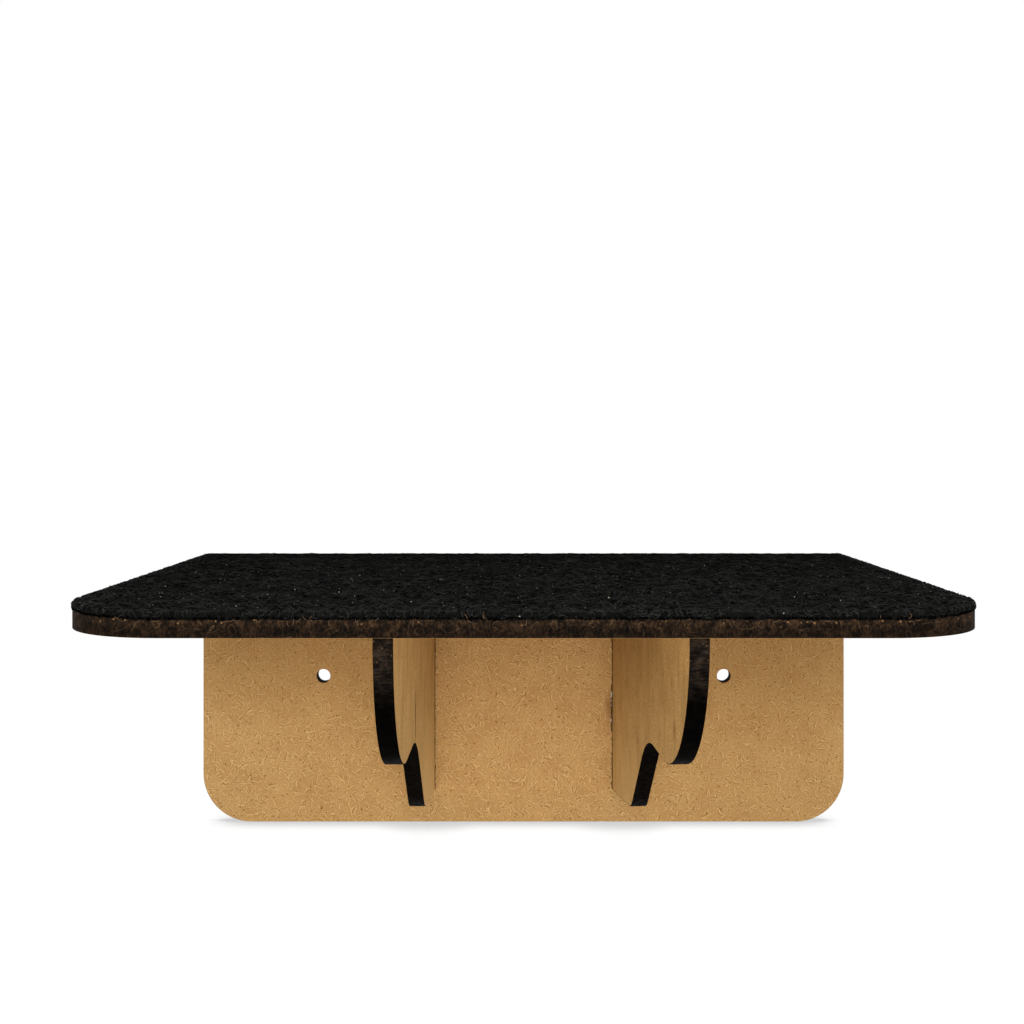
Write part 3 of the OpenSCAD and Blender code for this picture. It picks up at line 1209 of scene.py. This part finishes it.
@dataclass
class LoosePile:
    """Loose fibres of the carpet: curls on its top and round its edge, and a hanging fringe.

    Real fibres are about 0.05 mm wide, too fine to show, so they are drawn a few times wider.
    """

    mat: CarpetMat
    batches: tuple[CurlBatch, ...] = (
        CurlBatch(
            "carpet_curls_deep", EvenTint("black_fibre", "#040404"), 2400, 500,
            width=0.32 * MM, rise=0.5 * MM, shape=SHORT_CURL, on_rear=True,
        ),
        CurlBatch(
            "carpet_curls_charcoal", EvenTint("charcoal_fibre", "#282827"), 2300, 700,
            width=0.26 * MM, rise=0.9 * MM,
        ),
        CurlBatch(
            "carpet_curls_grey", EvenTint("dark_grey_fibre", "#343433"), 2300, 800,
            width=0.26 * MM, rise=1.0 * MM,
        ),
        CurlBatch(
            "carpet_curls_pale", EvenTint("grey_fibre", "#3d3d3b"), 1200, 220,
            width=0.22 * MM, rise=1.8 * MM,
        ),
        CurlBatch(
            "carpet_curls_long", EvenTint("ash_fibre", "#40403e"), 260, 0,
            width=0.22 * MM, rise=2.4 * MM, shape=LONG_CURL,
        ),
        CurlBatch(
            "carpet_lint", EvenTint("dull_lint", "#787267"), 420, 20,
            width=0.4 * MM, rise=0.4 * MM, shape=SPECK,
        ),
        CurlBatch(
            "carpet_lint_bright", EvenTint("pale_lint", "#c4b8a4"), 44, 3,
            width=0.45 * MM, rise=0.4 * MM, shape=SPECK,
        ),
    )
    fringes: tuple[Fringe, ...] = (
        Fringe("carpet_fringe", EvenTint("cut_edge_fibre", "#1a1a19"), 700, 0.0, (0.6, 1.0)),
        # The black foot of the edge is a painted shadow, a row of near-black fibres
        Fringe("carpet_fringe_painted_shadow", EvenTint("cut_edge_shade", "#020202"), 2600, 0.55, (0.9, 1.08)),
    )
    seed: int = 11
    points: int = 6
    waver: float = 0.2
    root_depth: float = 0.15 * MM
    rise_share: Range = (0.3, 1.0)
    clump: float = 14.0 * MM
    crowd: float = 0.55
    # Curls, all but the black ones, thin out towards the wall, so the top darkens there: painted shade
    rear_thinning: float = 0.9
    calm_rear: float = 220.0 * MM
    calm_side: float = 20.0 * MM
    edge_length: float = 0.55
    edge_rise: float = 0.3
    edge_foot: float = 0.5 * MM
    over_top: float = 4.0 * MM
    fringe_width: float = 0.28 * MM
    fringe_margin: float = 2.0 * MM
    fringe_sway: float = 0.35 * MM
    sway_share: float = 0.4
    fringe_jitter: float = 0.12 * MM
    fringe_lift: float = 0.3 * MM
    wood_count: int = 26
    wood_width: float = 0.26 * MM
    wood_shape: CurlShape = CurlShape(length=(1.5 * MM, 3.2 * MM), radius=(1.5 * MM, 4.0 * MM))
    wood_drop: Range = (0.8 * MM, 2.0 * MM)
    wood_rise: float = 0.8 * MM
    wood_lift: float = 0.1 * MM
    wood_finish: EvenTint = EvenTint("unburnt_wood_fibre", "#66523f")

    def __post_init__(self) -> None:
        """Starts the pile's own row of random numbers."""
        self.draw = random.Random(self.seed)

    def wander(self, start: Vector, shape: CurlShape, share: float = 1.0) -> list[Vector]:
        """Walks along a curved line on a flat surface.

        Args:
            start: Where the line begins.
            shape: The kind of fibre.
            share: The line's length, as a share of the fibre's.

        Returns:
            The line's points.
        """
        heading = self.draw.uniform(0, 2 * math.pi)
        bend = self.draw.choice((-1, 1)) / self.draw.uniform(*shape.radius)
        step = share * self.draw.uniform(*shape.length) / (self.points - 1)
        line = [start]
        for _ in range(self.points - 1):
            heading += bend * step + self.draw.gauss(0, self.waver)
            line.append(line[-1] + Vector((math.cos(heading), math.sin(heading))) * step)
        return line

    def lifts(self, rise: float) -> list[float]:
        """Gives the heights along a curl that leaves the felt and goes back in.

        Args:
            rise: The most that the curl may stand above the felt.

        Returns:
            One height for each of its points.
        """
        rise *= self.draw.uniform(*self.rise_share)
        arches = [math.sin(math.pi * i / (self.points - 1)) for i in range(self.points)]
        return [arch * rise - (1 - arch) * self.root_depth for arch in arches]

    def top_curls(self, batch: CurlBatch) -> list[Strand]:
        """Scatters curls over the mat's top, closer together in some places.

        Args:
            batch: The kind of curl.

        Returns:
            The curls, none of which reaches past the mat's rim.
        """
        mat = self.mat
        strands: list[Strand] = []
        while len(strands) < batch.top_count:
            x = self.draw.uniform(mat.low.x, mat.high.x)
            y = self.draw.uniform(mat.low.y, mat.high.y)
            crowd = self.crowd + noise.noise(Vector((x, y, batch.width)) / self.clump)
            if not batch.on_rear:
                crowd *= 1 - self.rear_thinning * (y - mat.low.y) / (mat.high.y - mat.low.y)
            if self.draw.random() > crowd:
                continue
            line = self.wander(Vector((x, y)), batch.shape)
            if all(mat.holds(p.x, p.y) for p in line):
                from_rear = min((mat.high.y - y) / self.calm_rear, 1.0)
                from_side = min((mat.high.x - abs(x)) / self.calm_side, 1.0)
                heights = zip(line, self.lifts(batch.rise * from_rear * from_side))
                strands.append([Vector((p.x, p.y, mat.nap(p.x, p.y) + up)) for p, up in heights])
        return strands

    def edge_curls(self, batch: CurlBatch) -> list[Strand]:
        """Scatters curls round the mat's rolled edge, some of which begin on its top.

        Args:
            batch: The kind of curl.

        Returns:
            The curls.
        """
        mat = self.mat
        whole = mat.rim_length()
        strands: list[Strand] = []
        while len(strands) < batch.edge_count:
            run = self.draw.uniform(0, whole)
            deepest = mat.band + mat.edge_drop(*mat.rim_point(run)) - self.edge_foot
            start = Vector((run, self.draw.uniform(-self.over_top, deepest)))
            line = self.wander(start, batch.shape, self.edge_length)
            if any(not 0 <= p.x <= whole or not -2 * self.over_top <= p.y <= deepest for p in line):
                continue
            heights = zip(line, self.lifts(batch.rise * self.edge_rise))
            strands.append([mat.round_edge(p.x, p.y, up) for p, up in heights])
        return strands

    def hanging(self, fringe: Fringe) -> list[Strand]:
        """Hangs fibres down the mat's edge.

        Args:
            fringe: The kind of fringe.

        Returns:
            The fibres.
        """
        mat = self.mat
        whole = mat.rim_length()
        strands = []
        for _ in range(fringe.count):
            run = self.draw.uniform(self.fringe_margin, whole - self.fringe_margin)
            foot = self.draw.uniform(*fringe.foot)
            sway = self.draw.gauss(0, self.fringe_sway)
            lift = self.draw.uniform(0.0, self.fringe_lift)
            strand = []
            for i in range(self.points - 1):
                part = i / (self.points - 2)
                run += sway * self.sway_share + self.draw.gauss(0, self.fringe_jitter)
                along = min(max(run, 0.0), whole)
                share = fringe.top + (foot - fringe.top) * part
                down = mat.band + share * mat.edge_drop(*mat.rim_point(along))
                strand.append(mat.round_edge(along, down, lift * math.sin(math.pi * part)))
            strands.append(strand)
        return strands

    def build(self) -> list[bpy.types.Object]:
        """Makes the carpet's curls and fringes and returns their objects."""
        made = []
        for batch in self.batches:
            curls = self.top_curls(batch) + self.edge_curls(batch)
            made.append(add_strands(batch.name, curls, batch.width, batch.finish))
        for fringe in self.fringes:
            fibres = self.hanging(fringe)
            made.append(add_strands(fringe.name, fibres, self.fringe_width, fringe.finish))
        return made

    def add_wood_fibres(self) -> bpy.types.Object:
        """Lets a few wood fibres stick out of the board's front rim, and returns their object."""
        mat = self.mat
        sides = mat.high.y - mat.straight_y + mat.rim_corner
        strands = []
        for _ in range(self.wood_count):
            run = self.draw.uniform(sides, mat.rim_length() - sides)
            down = mat.thick - mat.nap_drop - mat.roll + self.draw.uniform(*self.wood_drop)
            line = self.wander(Vector((run, down)), self.wood_shape)
            strand = []
            for point, up in zip(line, self.lifts(self.wood_rise)):
                rim, away = mat.rim_point(point.x)
                strand.append(mat.over_edge(rim, away, QUARTER_TURN, point.y, up + self.wood_lift))
            strands.append(strand)
        name = "stray_wood_fibres"
        return add_strands(name, strands, self.wood_width, self.wood_finish)


@dataclass(frozen=True)
class Softbox:
    """A soft rectangular lamp, aimed at the shelf."""

    name: str
    place: Vector
    size: Range
    watts: float

    def hang(self) -> None:
        """Puts the lamp in the scene."""
        data = bpy.data.lights.new(self.name, "AREA")
        data.energy = self.watts
        data.shape = "RECTANGLE"
        data.size, data.size_y = self.size
        lamp = put_in_scene(self.name, data)
        middle = (CAD_BOX[0] + CAD_BOX[1]) / 2
        lamp.location = self.place
        lamp.rotation_euler = (middle - self.place).to_track_quat("-Z", "Y").to_euler()


@dataclass
class Studio:
    """Camera, pale floor and soft light."""

    image_px: float = 1024.0
    focal_px: float = 1380.0
    centre_px: Range = (523.6, 446.0)
    camera_reach: float = 871 * MM
    camera_rise: float = 67.1 * MM
    # A camera's sensor and lens are counted in millimetres
    sensor: float = 36.0
    ambient: float = 0.05
    floor_glow: float = 0.8
    floor_side: float = 30.0
    floor_gap: float = 0.3 * MM
    floor_tone: str = "#e6e6e6"
    faint_tone: str = "#404040"
    contact_reach: float = 36 * MM
    contact_samples: int = 16
    # Openness of the floor at which the contact shadow is darkest and at which it ends
    contact_limits: Range = (0.45, 0.84)
    contact_tone: float = 0.62
    lamps: tuple[Softbox, ...] = (
        Softbox("front_softbox", Vector((0.03, -1.5, 0.24)), size=(0.36, 0.46), watts=8.7),
        Softbox("overhead_softbox", Vector((0, -0.6, 1.4)), size=(1.2, 1.0), watts=9.4),
    )

    def place_camera(self) -> None:
        """Sets the camera where the photograph was taken."""
        data = bpy.data.cameras.new("camera")
        data.sensor_width = self.sensor
        data.lens = self.focal_px / self.image_px * self.sensor
        data.shift_x = (self.image_px / 2 - self.centre_px[0]) / self.image_px
        data.shift_y = (self.centre_px[1] - self.image_px / 2) / self.image_px
        camera = put_in_scene("camera", data)
        camera.location = (0, -self.camera_reach, CAD_BOX[1].z + self.camera_rise)
        camera.rotation_euler = (QUARTER_TURN, 0, 0)
        bpy.context.scene.camera = camera

    def light_world(self) -> None:
        """Surrounds the shelf with even light, and shows white behind it."""
        world = bpy.data.worlds.new("white_studio")
        bpy.context.scene.world = world
        world.use_nodes = True
        tree = world.node_tree
        tree.nodes.clear()
        soft = add_node(tree, "Background", {"Color": linear(WHITE), "Strength": self.ambient})[0]
        white = add_node(tree, "Background", {"Color": linear(WHITE), "Strength": 1.0})[0]
        mixed = add_node(tree, "MixShader", {0: self.seen(tree), 1: soft, 2: white})[0]
        add_node(tree, "OutputWorld", {"Surface": mixed})

    def seen(self, tree: Tree) -> Socket:
        """Gives a socket that is 1 where the camera, a gloss or a glass looks."""
        path = add_node(tree, "LightPath")
        rays = ("Is Camera Ray", "Is Glossy Ray", "Is Transmission Ray")
        return strongest(tree, [path[ray] for ray in rays])

    def floor_paper(self) -> bpy.types.Material:
        """Makes white paper that keeps the shelf's soft shadow and is clear from below."""
        material, tree = new_material("white_paper_floor")
        links = {"Distance": self.contact_reach}
        contact = add_node(tree, "AmbientOcclusion", links, samples=self.contact_samples)["AO"]
        dark, open_air = self.contact_limits
        links = {"Value": contact, "From Min": dark, "From Max": open_air, "To Min": self.contact_tone}
        shade = add_node(tree, "MapRange", links, interpolation_type="SMOOTHSTEP")[0]
        glow = add_node(tree, "Emission", {"Color": linear(WHITE), "Strength": shade})[0]
        faint = add_node(tree, "BsdfDiffuse", {"Color": linear(self.faint_tone)})[0]
        shown = add_node(tree, "AddShader", {0: glow, 1: faint})[0]
        paper = add_node(tree, "BsdfDiffuse", {"Color": linear(self.floor_tone)})[0]
        bounce = add_node(tree, "Emission", {"Color": linear(WHITE), "Strength": self.floor_glow})[0]
        matt = add_node(tree, "AddShader", {0: paper, 1: bounce})[0]
        lit = add_node(tree, "MixShader", {0: self.seen(tree), 1: matt, 2: shown})[0]
        behind = add_node(tree, "NewGeometry")["Backfacing"]
        clear = add_node(tree, "BsdfTransparent")[0]
        ends = add_node(tree, "MixShader", {0: behind, 1: lit, 2: clear})[0]
        add_node(tree, "OutputMaterial", {"Surface": ends})
        return material

    def lay_floor(self) -> None:
        """Lays the floor just below the shelf."""
        shape = bmesh.new()
        bmesh.ops.create_grid(shape, x_segments=1, y_segments=1, size=self.floor_side / 2)
        bmesh.ops.translate(shape, vec=(0, 0, CAD_BOX[0].z - self.floor_gap), verts=shape.verts)
        mesh = mesh_of("floor", shape)
        mesh.materials.append(self.floor_paper())
        floor = put_in_scene("floor", mesh)

    def build(self) -> None:
        """Sets up everything round the shelf."""
        self.place_camera()
        self.light_world()
        self.lay_floor()
        for lamp in self.lamps:
            lamp.hang()


def build_carpet(board: bpy.types.Object) -> None:
    """Makes the carpet and its loose fibres.

    Args:
        board: The board that the carpet is glued on; not used.
    """
    mat = CarpetMat()
    felt = mat.build(NeedledFelt())
    pile = LoosePile(mat)
    loose = pile.build()
    pile.add_wood_fibres()


def main() -> None:
    """Builds the shelf and the studio round it."""
    logging.basicConfig(level=logging.INFO, format="%(name)s %(message)s")
    bpy.context.scene.view_settings.view_transform = "Standard"
    Studio().build()
    build_carpet(FibreboardKit().build())


if __name__ == "__main__":
    main()
